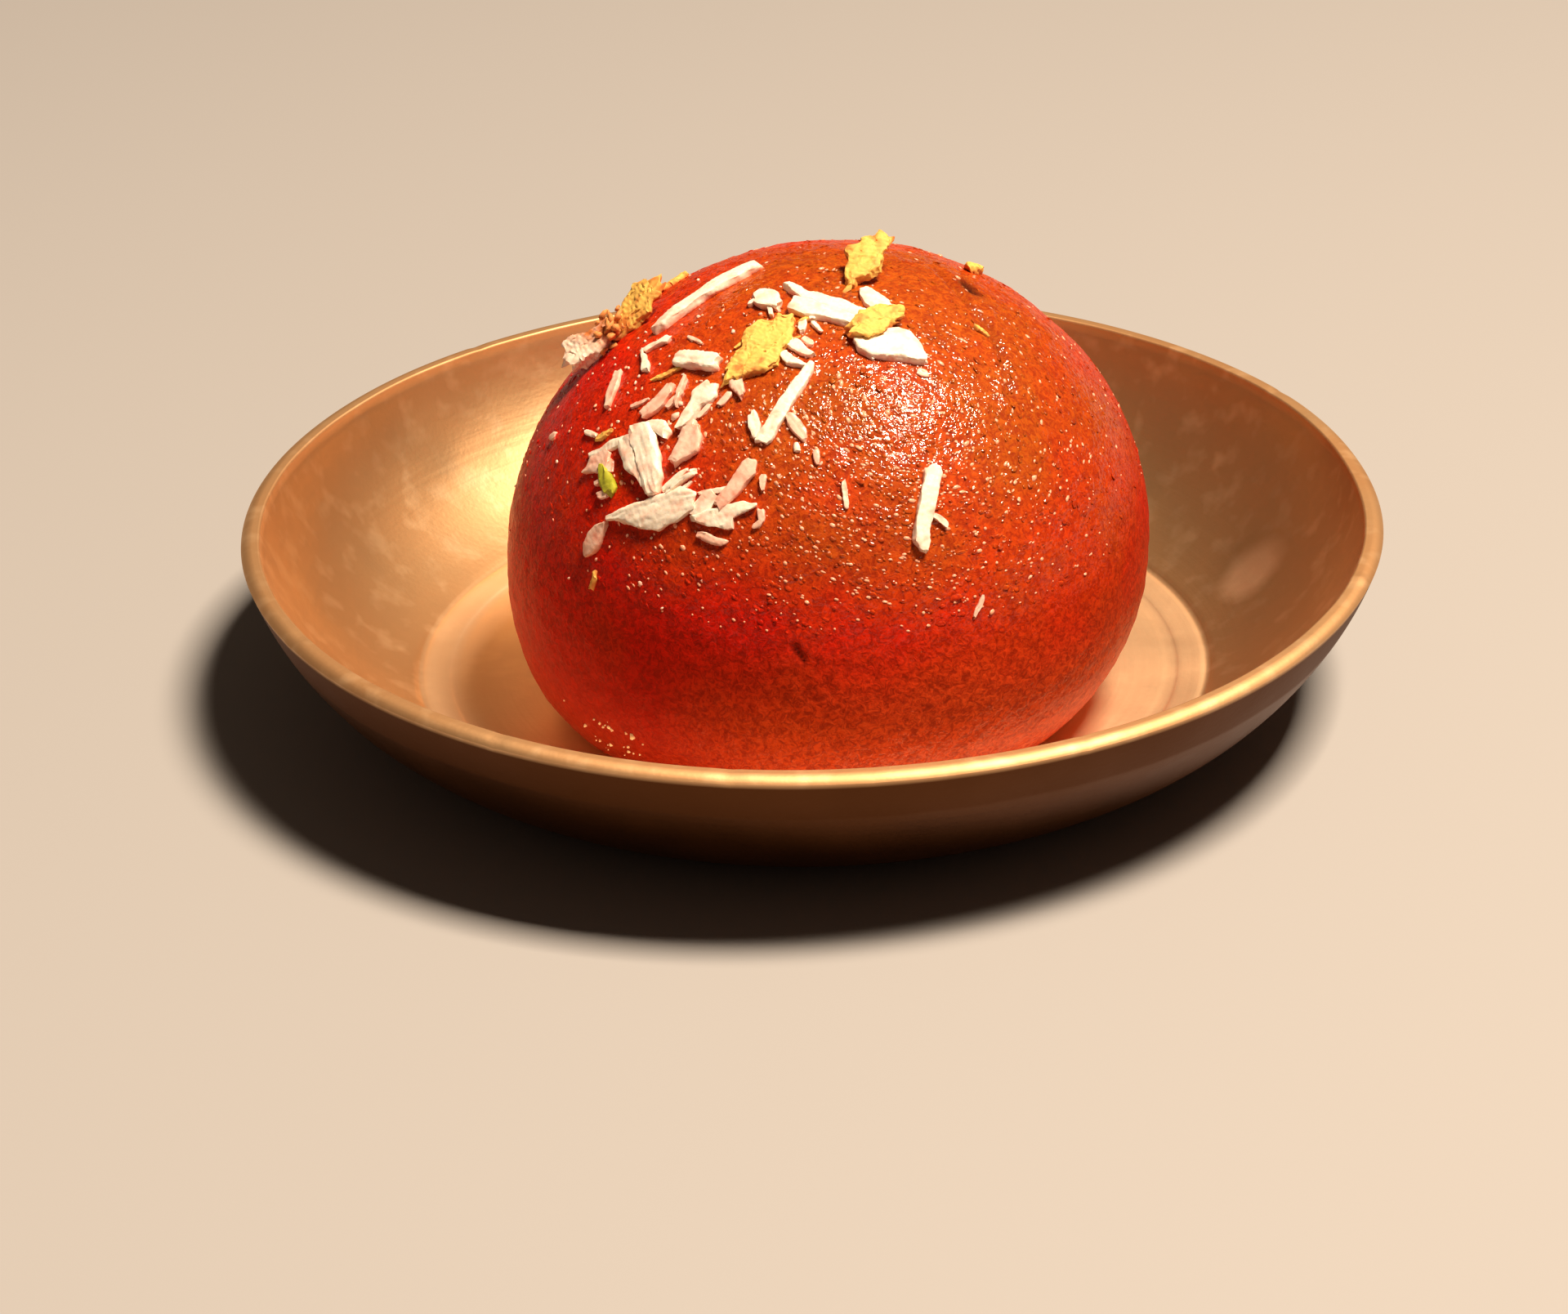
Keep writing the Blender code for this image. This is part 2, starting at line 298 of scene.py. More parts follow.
def dish_profile():
    """(radius, height) points in a run from the floor's middle, over the lip, to the base's middle."""
    inside_foot = (FLOOR_EDGE, FLOOR + 0.25 * MM)
    lip_inside = (RIM - LIP, HEIGHT - LIP_ROUNDING)
    lip_outside = (RIM, HEIGHT - LIP_DROP)
    round_in = (RIM - LIP + LIP_ROUNDING, HEIGHT)
    round_out = (RIM - LIP_SLOPE, HEIGHT)
    return np.concatenate([
        line((0, FLOOR), (INNER_RING, FLOOR), 40),
        line((INNER_RING, FLOOR), inside_foot, 12),
        arc(inside_foot, lip_inside, WALL_TURN, 60),
        arc(lip_inside, round_in, -math.pi / 2, 5),
        line(round_in, round_out, 6),
        arc(round_out, lip_outside, -2 * math.atan(LIP_DROP / LIP_SLOPE), 10),
        arc(lip_outside, (FOOT, 0), -WALL_TURN, 44),
        line((FOOT, 0), (0, 0), 12),
        [(0, 0)],
    ])


def ring_marks(radius):
    """How far a lathe ring sinks or raises the inside surface at each radius: narrow bells, in metres."""
    groove = -0.10 * np.exp(-((radius - INNER_RING) / (0.22 * MM)) ** 2)
    step = -0.12 * np.exp(-((radius - FLOOR_EDGE) / (0.3 * MM)) ** 2)
    crease = -0.10 * np.exp(-((radius - (RIM - LIP - 0.1 * MM)) / (0.12 * MM)) ** 2)
    return (groove + step + crease) * MM


def lip_wear(points):
    """How far the lip is sunk, or raised if negative: a bell round each bearing, counted from the front."""
    bearing = np.degrees(np.arctan2(points[..., 0], -points[..., 1]))
    near_lip = smoothstep(RIM - 2.2 * MM, RIM - 0.8 * MM, np.hypot(points[..., 0], points[..., 1]))
    near_lip *= smoothstep(HEIGHT - 1.4 * MM, HEIGHT - 0.3 * MM, points[..., 2])
    wear = np.zeros(bearing.shape)
    for place, width, depth in ((26, 0.3, 0.14), (70.5, 0.5, -0.14), (-8, 0.6, 0.08), (-61, 0.8, 0.06),
                                (-31, 0.5, 0.07), (118, 0.7, 0.08), (-140, 0.6, 0.09), (5.5, 0.3, 0.10)):
        wear += depth * np.exp(-((bearing - place) / width) ** 2)
    return wear * MM * near_lip


def make_dish():
    """The profile (r, z) turned round Z: each point is (r cos a, r sin a, z), made slightly wavy."""
    profile = dish_profile()
    outside = np.arange(len(profile)) > np.argmax(profile[:, 0])
    profile[:, 1] += ring_marks(profile[:, 0]) * ~outside
    angle = -np.arange(SIDES) * math.tau / SIDES
    points = np.stack([profile[:, :1] * np.cos(angle), profile[:, :1] * np.sin(angle),
                       np.repeat(profile[:, 1:], SIDES, axis=1)], axis=-1)
    above_floor = smoothstep(2 * MM, 8 * MM, points[..., 2])
    points[..., 2] += 0.05 * MM * waves(points, 26 * MM, seed=3) * above_floor
    points[..., 2] -= lip_wear(points)
    outward = points[..., :2] / np.maximum(np.hypot(points[..., 0], points[..., 1]), MM)[..., None]
    dents = 0.03 * MM * waves(points, 7 * MM, seed=5) * above_floor * smoothstep(RIM, RIM - 3 * MM,
                                                                                 profile[:, :1])
    points[..., :2] += outward * dents[..., None]
    piece = add_mesh("brass_dish", points, grid_faces(*points.shape[:2]), brass, sharp_degrees=50,
                     attributes={"outside": np.repeat(outside, SIDES)})
    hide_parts("dish")
    return piece


dish = make_dish()
print("dish:", len(dish.data.polygons), "faces")

# %% [markdown]
# ## The shape of the ball
#
# A place on the ball is given by a bearing, in degrees round it from its front, and a rise, from its widest
# level (0) to its top (90) or down to its base (-90). Above the widest level it is half an ellipse, and
# below it the dough has sagged into a flat-bottomed curve. The whole ball leans a little to the right.

# %% The smooth ball, and frames that stand on it
ball_low, ball_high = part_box("gulab_jamun")
BASE = ball_low.z
TOP = ball_high.z
WIDEST = 13.1 * MM
RADIUS = 25.1 * MM
BASE_RADIUS = 17.7 * MM
FORWARD = 5 * MM
FOOT_ASIDE = 0.15 * MM
LEAN = 1.8 * MM
LEAN_POWER = 0.7
LUMPS = 0.18 * MM


def ball_point(bearing, rise):
    """Points of the ball at these angles in radians: a circle of reach r round a middle that leans.

    Above the widest level r is R cos(rise). Below it r runs from R to the base's radius. The middle moves
    right with height, and slow lumps are added.
    """
    upper = rise >= 0
    reach = np.where(upper, RADIUS * np.cos(rise), BASE_RADIUS + (RADIUS - BASE_RADIUS) * np.cos(rise))
    height = WIDEST + np.where(upper, TOP - WIDEST, WIDEST - BASE) * np.sin(rise)
    lumps = np.sin(3 * bearing + 0.5) * np.cos(rise) + 0.6 * np.sin(2 * bearing - 4 * rise)
    reach = reach + LUMPS * lumps * np.cos(rise)
    share = np.maximum((height - BASE) / (TOP - BASE), 0)
    middle = FOOT_ASIDE + LEAN * np.sin(math.pi / 2 * share ** LEAN_POWER)
    return np.stack([middle + reach * np.sin(bearing), -FORWARD - reach * np.cos(bearing), height], axis=-1)


def unit(vectors):
    """Each vector divided by its own length."""
    return vectors / np.maximum(np.linalg.norm(vectors, axis=-1, keepdims=True), 1e-12)


def ball_frame(bearing, rise, heading):
    """Place and axes (along, left, out) on the ball: heading 0 is towards +bearing, a quarter turn uphill."""
    bearing, rise, heading = np.broadcast_arrays(*(np.asarray(a, float) for a in (bearing, rise, heading)))
    small = math.radians(0.5)
    east = unit(ball_point(bearing + small, rise) - ball_point(bearing - small, rise))
    uphill = unit(ball_point(bearing, rise + small) - ball_point(bearing, rise - small))
    out = unit(np.cross(east, uphill))
    north = np.cross(out, east)
    along = unit(np.cos(heading)[..., None] * east + np.sin(heading)[..., None] * north)
    return ball_point(bearing, rise), np.stack([along, np.cross(out, along), out], axis=-2)


print("ball from", round(BASE / MM, 2), "to", round(TOP / MM, 2), "mm")

# %% [markdown]
# ## Fried dough, soaked in syrup
#
# Under the crust lies milky dough, so light enters, scatters a millimetre or two and comes out redder: that
# is subsurface scattering, longest in red. The syrup on top is a thin, glossy coat. It is thickest on the
# front shoulder, where it was spooned on, and has soaked in or run off elsewhere. The colour runs from deep
# red on the left to gold on the shoulder that faces the lamp: partly uneven frying and partly painted light.
# Low down, near the dish, it is painted paler terracotta in front and on the right, partly a drier crust and
# partly painted bounce light from the brass. On the left it is painted deeper red, and at the very bottom
# dark brown, as painted shade. The right edge is painted darker as painted shade, and so are the crease and
# the nick, while the dark spot beside the crease is really dark. It is mottled by fine fibres in the crust.
# The crust's finest grain breaks up the gloss of the coat and hardly marks the dough below it, so the coat
# gets more of its bump.

# %% The dough material, and the same dough under a bead of syrup
SYRUP_PLACE = (5 * MM, -18 * MM, 32 * MM)


def make_dough(name, coat_roughness, peel_mm):
    """Fried dough with a gloss coat; peel_mm is the height of the fine peel that breaks up the gloss."""
    dough = new_material(name, {
        "Subsurface Weight": 0.2, "Subsurface Radius": (1.0, 0.2, 0.07), "Subsurface Scale": 2.0 * MM,
        "Roughness": 0.6, "IOR": 1.45, "Specular IOR Level": 0.08, "Coat Roughness": coat_roughness,
        "Coat IOR": 1.5})
    place = add_node(dough, "ShaderNodeTexCoord", output="Object")
    side = add_node(dough, "ShaderNodeSeparateXYZ", {"Vector": place}, output="X")
    height = add_node(dough, "ShaderNodeSeparateXYZ", {"Vector": place}, output="Z")
    # Gold towards the side that faces the lamp: partly uneven frying, partly painted light.
    towards = add_node(dough, "ShaderNodeVectorMath", {0: place, 1: (0.25, -0.35, 0.9)},
                       operation="DOT_PRODUCT", output="Value")
    golden = add_node(dough, "ShaderNodeMapRange", {"Value": towards, "From Min": 23.5 * MM,
                                                    "From Max": 36.5 * MM})
    clouds = add_node(dough, "ShaderNodeTexNoise", {"Vector": place, "Scale": per_mm(7), "Detail": 3})
    fibres = add_node(dough, "ShaderNodeTexNoise", {"Vector": place, "Scale": per_mm(0.55), "Detail": 4,
                                                    "Roughness": 0.7, "Distortion": 1.2})
    grain = add_node(dough, "ShaderNodeTexNoise", {"Vector": place, "Scale": per_mm(0.33), "Detail": 1})
    rougher = add_node(dough, "ShaderNodeTexNoise", {"Vector": place, "Scale": per_mm(1.6)})
    cloudy = add_node(dough, "ShaderNodeMapRange", {"Value": clouds, "From Min": 0.3, "From Max": 0.7,
                                                    "To Min": -0.25, "To Max": 0.25})
    warmth_and_painted_light = add_node(dough, "ShaderNodeMath", {0: golden, 1: cloudy}, operation="ADD", use_clamp=True)
    tint = add_node(dough, "ShaderNodeMix", {"Factor": warmth_and_painted_light, "A": linear("#E01A05"),
                                             "B": linear("#B8530C")},
                    data_type="RGBA")
    # Near the dish the right is paler terracotta: partly a drier crust, partly painted bounce light.
    rightness = add_node(dough, "ShaderNodeMapRange",
                         {"Value": side, "From Min": -12 * MM, "From Max": -2 * MM})
    foot_tint = add_node(dough, "ShaderNodeMix", {"Factor": rightness, "A": linear("#A01604"),
                                                  "B": linear("#DE5A22")}, data_type="RGBA")
    # Dark brown at the very bottom is painted shade, and so is the deeper red on the left.
    lowest = add_node(dough, "ShaderNodeMapRange",
                      {"Value": height, "From Min": 3 * MM, "From Max": 10 * MM,
                                                    "To Min": 0.75, "To Max": 0.0})
    foot_tint = add_node(dough, "ShaderNodeMix", {"Factor": lowest, "A": foot_tint, "B": linear("#8A3A20")},
                         data_type="RGBA")
    foot = add_node(dough, "ShaderNodeMapRange",
                    {"Value": height, "From Min": 10.5 * MM, "From Max": 17 * MM,
                                                  "To Min": 0.9, "To Max": 0.0})
    tint = add_node(dough, "ShaderNodeMix", {"Factor": foot, "A": tint, "B": foot_tint}, data_type="RGBA")
    # The right edge is painted darker: painted shade.
    shaded = add_node(dough, "ShaderNodeMapRange", {"Value": side, "From Min": 13 * MM, "From Max": 25 * MM,
                                                    "To Max": 0.33})
    streak = add_node(dough, "ShaderNodeMapRange", {"Value": fibres, "From Min": 0.4, "From Max": 0.6,
                                                    "To Min": 0.66, "To Max": 0.0})
    # The dark spot is really dark; the darkening of the crease and the nick is painted shade.
    char_and_painted_shade = add_node(dough, "ShaderNodeAttribute", attribute_name="char_and_painted_shade", output="Fac")
    for share, colour in ((shaded, "#7C1003"), (streak, "#7C1003"), (char_and_painted_shade, "#200602")):
        tint = add_node(dough, "ShaderNodeMix", {"Factor": share, "A": tint, "B": linear(colour)},
                        data_type="RGBA")
    away = add_node(dough, "ShaderNodeVectorMath", {0: place, 1: SYRUP_PLACE}, operation="DISTANCE",
                    output="Value")
    syrupy = add_node(dough, "ShaderNodeMapRange", {"Value": away, "From Min": 12 * MM, "From Max": 24 * MM,
                                                    "To Min": 1.0, "To Max": 0.2})
    uneven = add_node(dough, "ShaderNodeMapRange", {"Value": rougher, "From Min": 0.4, "From Max": 0.65,
                                                    "To Min": 0.6, "To Max": 1.4})
    peel = add_node(dough, "ShaderNodeMath", {0: grain, 1: uneven}, operation="MULTIPLY")
    fibrous = add_node(dough, "ShaderNodeBump",
                       {"Height": fibres, "Strength": 1.0, "Distance": 0.5 * peel_mm * MM})
    body = add_node(dough, "ShaderNodeBump", {"Height": peel, "Strength": 1.0,
                                              "Distance": 0.3 * peel_mm * MM,
                                              "Normal": fibrous})
    gloss = add_node(dough, "ShaderNodeBump", {"Height": peel, "Strength": 1.0, "Distance": peel_mm * MM})
    connect(dough, {"Base Color": tint, "Coat Weight": syrupy, "Normal": body, "Coat Normal": gloss})
    return dough


dough = make_dough("fried_milk_dough_in_syrup", 0.05, 0.12)
syrup = make_dough("syrup_bead_on_dough", 0.02, 0.01)

# %% [markdown]
# ## The ball's crust
#
# The fried crust is never smooth. It has a fine orange-peel relief that syrup has swollen, a curved crease
# with a raised edge on its right shoulder, a dark spot beside it and a small nick in front. The grid is
# finest in front, because its bearing is u - s sin(u), with s the front's crowding. The finest relief, a
# third of a millimetre, is left to a bump.

# %% Relief of the crust
CREASE = ((104, 70.7), (94, 69.8), (86, 68.4), (75, 64.7), (68, 59.4), (58, 53.5), (51, 47.8))
RIDGE = ((79, 61), (63, 56.3), (55.6, 54.2), (50, 49.9), (46, 45.7))
SPOT = ((94, 65.8), (89, 64.8))
NICK = ((-7, 9.7), (-5.2, 7.3))
BALL_GRID = (270, 352)
FRONT_CROWDING = 0.45
STANDING_GAP = 0.02 * MM


def along_ball(places, count=60):
    """Points of the path through these (bearing, rise) places, evenly divided in angle between them."""
    places = np.radians(np.array(places, float))
    share = np.linspace(0, len(places) - 1, count)
    return ball_point(np.interp(share, range(len(places)), places[:, 0]),
                      np.interp(share, range(len(places)), places[:, 1]))


def distance_to(points, path):
    """Distance from each point to the nearest point of a path."""
    nearest = np.full(points.shape[:-1], np.inf)
    for place in path:
        nearest = np.minimum(nearest, np.linalg.norm(points - place, axis=-1))
    return nearest


def bell(distance, width_mm):
    """1 at distance 0, falling to about a third at this width."""
    return np.exp(-(distance / (width_mm * MM)) ** 2)


def crust_relief(points, rise):
    """Height of the crust over the smooth ball, in metres: peel, waves, crease, ridge, nick and spot."""
    peel = 0.016 * waves(points, 0.95 * MM, seed=11, count=70) + 0.022 * waves(points, 1.9 * MM, seed=12)
    swells = 0.05 * waves(points, 8 * MM, seed=13)
    crease = distance_to(points, along_ball(CREASE))
    ridge = distance_to(points, along_ball(RIDGE))
    nick = distance_to(points, along_ball(NICK, 12))
    spot = distance_to(points, along_ball(SPOT, 8))
    marks = -0.45 * bell(crease, 0.4) + 0.16 * bell(ridge, 0.35)
    marks += -0.3 * bell(nick, 0.2) - 0.3 * bell(spot, 0.45)
    foot = smoothstep(math.radians(-88), math.radians(-60), rise)
    return (peel + swells + marks) * foot * MM


def make_ball():
    """Grid over bearing and rise; each point moves out along the smooth ball's normal by the crust's relief.

    The base comes down to the dish's floor, and a last ring at its middle closes it.
    """
    rows, columns = BALL_GRID
    u = np.arange(columns) * math.tau / columns
    rise = math.pi * (np.linspace(0, 1, rows) ** 0.94 - 0.5)
    rise, bearing = np.meshgrid(rise, u - FRONT_CROWDING * np.sin(u), indexing="ij")
    smooth = ball_point(bearing, rise)
    steepest = math.radians(89.4)
    out = ball_frame(bearing, np.clip(rise, -steepest, steepest), 0)[1][..., 2, :]
    points = smooth + out * crust_relief(smooth, rise)[..., None]
    points[-1] = points[-1].mean(0)
    points[..., 2] -= (BASE - FLOOR - STANDING_GAP) * smoothstep(math.radians(-20), math.radians(-90), rise)
    middle = np.broadcast_to(points[0].mean(0), (1, columns, 3))
    points = np.concatenate([middle, points])
    # The spot is really dark; the nick and the crease get painted shade.
    marks = np.maximum(bell(distance_to(points, along_ball(SPOT, 8)), 0.75),
                       0.8 * bell(distance_to(points, along_ball(NICK, 12)), 0.22))
    marks = np.maximum(marks, 0.35 * bell(distance_to(points, along_ball(CREASE)), 0.5))
    piece = add_mesh("crusted_ball", points, grid_faces(*points.shape[:2]), dough,
                     attributes={"char_and_painted_shade": marks})
    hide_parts("gulab_jamun")
    return piece


ball = make_ball()
print("ball:", len(ball.data.polygons), "faces")

# %% [markdown]
# ## Drops and grains of syrup
#
# Syrup dries on the crust in thousands of tiny pieces of two kinds: flat drops, which have the dough's own
# colour under a smoother gloss, as clear syrup would show it, and smaller, thicker, pale grains of sugar.
# The grains' pale colour is partly sugar and partly painted glints, crowded round the shoulder as glints are.
# Each is tipped a little its own way, and those that face halfway between the lamp and the eye glint. One
# of them is a closed lens of a few dozen faces. Arrays repeat it: the lens's points are scaled, turned by
# each place's frame and moved there, all in one sum, and the copies are joined.

# %% Drops and grains scattered by arrays
def small_ball(rings, columns):
    """A unit sphere's grid: rings of polar angle, each with columns round the axis, and its faces."""
    polar, turn = np.meshgrid(np.linspace(0, math.pi, rings), -np.arange(columns) * math.tau / columns,
                              indexing="ij")
    points = np.stack([np.sin(polar) * np.cos(turn), np.sin(polar) * np.sin(turn), np.cos(polar)], axis=-1)
    return points.reshape(-1, 3), grid_faces(rings, columns)


def scatter(name, shape, faces, places, axes, sizes, material):
    """Joins a copy of the shape for each place: its points times that size, turned by those axes, moved."""
    points = places[:, None, :] + np.einsum("pk,nk,nkd->npd", shape, sizes, axes)
    offsets = np.arange(len(places))[:, None, None] * len(shape)
    return add_mesh(name, points, (faces[None] + offsets).reshape(-1, 4), material)


def crust_place(bearing, rise):
    """Place and axes on the crust itself, at angles in radians: the smooth ball's, raised by the relief."""
    places, axes = ball_frame(bearing, rise, 0)
    return places + axes[..., 2, :] * crust_relief(places, rise)[..., None], axes


SHOULDER = ((22,), (54,))


def bead_places(count, near_share, random):
    """Bearings and rises: this share lies about the shoulder, and the rest all over the upper half."""
    near = random.random(count) < near_share
    bearing = np.where(near, random.normal(10, 30, count), random.uniform(-180, 180, count))
    rise = np.where(near, random.normal(41, 17, count),
                    np.degrees(np.arcsin(random.uniform(0.3, 1, count))))
    return np.radians(bearing), np.radians(np.minimum(12 + np.abs(rise - 12), 87))


def tipped(axes, random, degrees):
    """Frames tipped by random angles of this spread: out leans, and the others are squared to it."""
    lean = np.tan(np.radians(random.normal(0, degrees, (2, len(axes), 1))))
    out = unit(axes[:, 2] + lean[0] * axes[:, 0] + lean[1] * axes[:, 1])
    left = unit(np.cross(out, axes[:, 0]))
    return np.stack([np.cross(left, out), left, out], axis=1)


def make_beads(name, count, near_share, radius_mm, flatness, lean, material, seed):
    """Flat drops of one kind, each drawn out round the middle of the shoulder and tipped a little."""
    random = np.random.default_rng(seed)
    places, axes = crust_place(*bead_places(count, near_share, random))
    out = axes[:, 2]
    around = unit(np.cross(out, places - ball_point(*np.radians(SHOULDER))))
    axes = np.stack([around, np.cross(out, around), out], axis=1)
    radius = random.lognormal(math.log(radius_mm), 0.35, count) * MM
    sizes = np.stack([radius * random.uniform(0.9, 2.2, count), radius, radius * flatness], axis=1)
    shape, faces = small_ball(5, 6)
    piece = scatter(name, shape, faces, places, tipped(axes, random, lean), sizes, material)
    print(name + ":", len(piece.data.polygons), "faces")


make_beads("syrup_beads", 3200, 0.6, 0.12, 0.22, 11, syrup, 21)
# The grains' pale colour is partly sugar and partly painted glints.
sugar = new_material("dried_sugar_and_painted_glints", {"Base Color": linear("#F6A988"), "Roughness": 0.25, "IOR": 1.5})
make_beads("sugar_grains_and_painted_glints", 1500, 0.75, 0.085, 0.5, 15, sugar, 22)

# %% [markdown]
# ## Slivers and flakes
#
# A cut sliver is flat, straight-grained and broken at its ends. Each is described by a few stations along
# its length: a place x with the low and the high edge there, in millimetres in its own frame on the ball.
# Between stations the edges run straight, and small noise makes them ragged. The section is a box with
# rounded edges. The lower part of a dry sliver drinks syrup and turns pink, so each point stores how deep
# in syrup it lies.

# %% Materials of the nuts and flakes
def make_nut(name, dry, wet, dark, roughness, grain_mm, scatter_mm, patchy=0.3):
    """A cut nut or flake: its dry colour, its colour where soak is 1, its grain, and the soak's patchiness."""
    nut = new_material(name, {"Roughness": roughness, "Subsurface Weight": 0.12, "IOR": 1.45,
                              "Subsurface Radius": (1.0, 0.6, 0.35), "Subsurface Scale": scatter_mm * MM})
    place = add_node(nut, "ShaderNodeTexCoord", output="Object")
    grain = add_node(nut, "ShaderNodeTexNoise", {"Vector": place, "Scale": per_mm(grain_mm), "Detail": 3,
                                                 "Roughness": 0.65})
    patches = add_node(nut, "ShaderNodeTexNoise", {"Vector": place, "Scale": per_mm(1.1)})
    soak = add_node(nut, "ShaderNodeAttribute", attribute_name="soak", output="Fac")
    uneven = add_node(nut, "ShaderNodeMapRange", {"Value": patches, "From Min": 0.3, "From Max": 0.7,
                                                  "To Min": -patchy, "To Max": patchy})
    wetness = add_node(nut, "ShaderNodeMath", {0: soak, 1: uneven}, operation="ADD", use_clamp=True)
    shade = add_node(nut, "ShaderNodeMapRange", {"Value": grain, "From Min": 0.45, "From Max": 0.75,
                                                 "To Max": 0.5})
    tint = add_node(nut, "ShaderNodeMix", {"Factor": shade, "A": linear(dry), "B": linear(dark)},
                    data_type="RGBA")
    tint = add_node(nut, "ShaderNodeMix", {"Factor": wetness, "A": tint, "B": linear(wet)},
                    data_type="RGBA")
    bump = add_node(nut, "ShaderNodeBump", {"Height": grain, "Strength": 0.5, "Distance": 0.05 * MM})
    connect(nut, {"Base Color": tint, "Normal": bump})
    return nut


almond = make_nut("blanched_almond_cut", "#FCF0E0", "#F2A48C", "#EED2B2", 0.5, 0.35, 0.5, patchy=0.6)
soaked = make_nut("almond_soaked_in_syrup", "#F8CDBA", "#EC9078", "#EBA890", 0.3, 0.35, 0.8, patchy=0.7)
golden = make_nut("golden_flake_crumbly", "#F2C262", "#CE7430", "#DB9440", 0.7, 0.3, 0.6, patchy=0.9)
crumbly = make_nut("browned_flake_crumb", "#DE8E4E", "#B85E2C", "#C8793C", 0.7, 0.3, 0.6)
browned = make_nut("pale_flake_browned_at_its_edge", "#FFE8D6", "#C4703A", "#F2B89A", 0.6, 0.3, 0.6,
                   patchy=0.4)
pistachio = make_nut("pistachio_cut", "#B5B436", "#9AA01E", "#7F8A14", 0.5, 0.35, 0.6)

# %% [markdown]
# Each piece's place is a bearing, a rise and a heading in degrees, as for its solid. The nuts lie on the
# crust and follow its bend, a parabola of the ball's radius. Three flakes are lifted and tipped.


# %% The surface of a sliver
BEND_RADIUS = 27 * MM
SUNK = 0.12 * MM


def piece_axes(place, lift=0, pitch=0, roll=0):
    """Origin and axes of a piece at (bearing, rise, heading) degrees, raised, nose up and rolled."""
    origin, axes = ball_frame(*np.radians(np.array(place, float)))
    tip, turn = math.radians(pitch), math.radians(roll)
    pitched = np.array([[math.cos(tip), 0, math.sin(tip)], [0, 1, 0], [-math.sin(tip), 0, math.cos(tip)]])
    rolled = np.array([[1, 0, 0], [0, math.cos(turn), math.sin(turn)],
                       [0, -math.sin(turn), math.cos(turn)]])
    return origin + axes[2] * (lift * MM - SUNK), rolled @ pitched @ axes


def box_section(aspect, columns):
    """(y, z) points round the superellipse |y|^7.1 + |z|^7.1 = 1, evenly spaced once y is stretched."""
    turn = np.linspace(0, math.tau, 721)
    y, z = (np.sign(w) * np.abs(w) ** 0.28 for w in (np.cos(turn), np.sin(turn)))
    run = np.concatenate([[0], np.cumsum(np.hypot(np.diff(y) * aspect, np.diff(z)))])
    share = np.arange(columns) / columns * run[-1]
    return np.interp(share, run, y), np.interp(share, run, z)


def sliver(place, thickness, stations, seed, rag=0.05, rough=0.016, grain=0.03, step=0.12, **tilt):
    """Points (rows, columns, 3) of a closed sliver, and how soaked each is.

    Rows go along it, with edges drawn straight from station to station, and columns go round a boxy
    section. The end rings shrink to a point to make flat caps. Noise of 1 mm bumps wears the edges and
    breaks the ends, noise of 0.3 mm roughens all, and noise drawn out along x is grain.
    """
    x, low, high = (np.array(values, float) for values in zip(*stations))
    rows = max(int((x[-1] - x[0]) / step), 8)
    along = np.linspace(x[0], x[-1], rows)
    along = np.concatenate([[x[0]] * 3, along, [x[-1]] * 3])
    cap = np.concatenate([[0, 0.45, 0.82], np.ones(rows), [0.82, 0.45, 0]])
    cap[3] = cap[-4] = 0.95
    width = np.mean(high - low)
    columns = max(int(2 * (width + thickness) / step), 20)
    boxy = box_section(width / thickness, columns)
    middle = np.interp(along, x, (low + high) / 2)[:, None]
    half = np.interp(along, x, (high - low) / 2)[:, None]
    points = np.stack([np.broadcast_to(along[:, None], (len(along), columns)),
                       middle + half * cap[:, None] * boxy[0],
                       thickness / 2 * (1 + cap[:, None] * boxy[1])], axis=-1)
    offset = points + 37.0 * seed
    broken = smoothstep(0.9, 0.1, np.minimum(along - x[0], x[-1] - along))[:, None]
    points[..., 0] += 3 * rag * broken * waves(offset, 0.8, seed=seed, count=20)
    points[..., 1] += rag * waves(offset * (0.6, 1, 1), 0.9, seed=seed + 1, count=20)
    points[..., 2] += rag * 0.5 * waves(offset * (0.5, 1, 1), 1.2, seed=seed + 2, count=20)
    points[..., 2] += grain * waves(offset * (0.14, 1, 1), 0.38, seed=seed + 3, count=20)
    for axis in range(3):
        points[..., axis] += rough * waves(offset, 0.33, seed=seed + 4 + axis, count=20)
    points[0], points[-1] = points[0].mean(0), points[-1].mean(0)
    soak = smoothstep(0.75 * thickness, 0.1 * thickness, points[..., 2])
    points[..., 2] -= (points[..., 0] ** 2 + points[..., 1] ** 2) * MM / (2 * BEND_RADIUS)
    origin, axes = piece_axes(place, **tilt)
    return origin + points * MM @ axes, soak


def add_surfaces(name, surfaces, material, nodes=()):
    """Joins closed grids, each with its soak, in one piece that replaces these nodes."""
    points, faces, soak, start = [], [], [], 0
    for grid, wet in surfaces:
        faces.append(grid_faces(*grid.shape[:2]) + start)
        points.append(grid.reshape(-1, 3))
        soak.append(wet.ravel())
        start += wet.size
    piece = add_mesh(name, np.concatenate(points), np.concatenate(faces), material, sharp_degrees=38,
                     attributes={"soak": np.concatenate(soak)})
    if nodes:
        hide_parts(*nodes)
    print(name + ":", len(piece.data.polygons), "faces")
    return piece


# %% [markdown]
# ## Slivered almonds
#
# Blanched almonds, cut into slivers and blades. Their cut faces are cream and matt. Where they drink syrup
# they turn pink, and the ends are broken ragged. Each line gives a piece's place, its thickness and its
# stations.

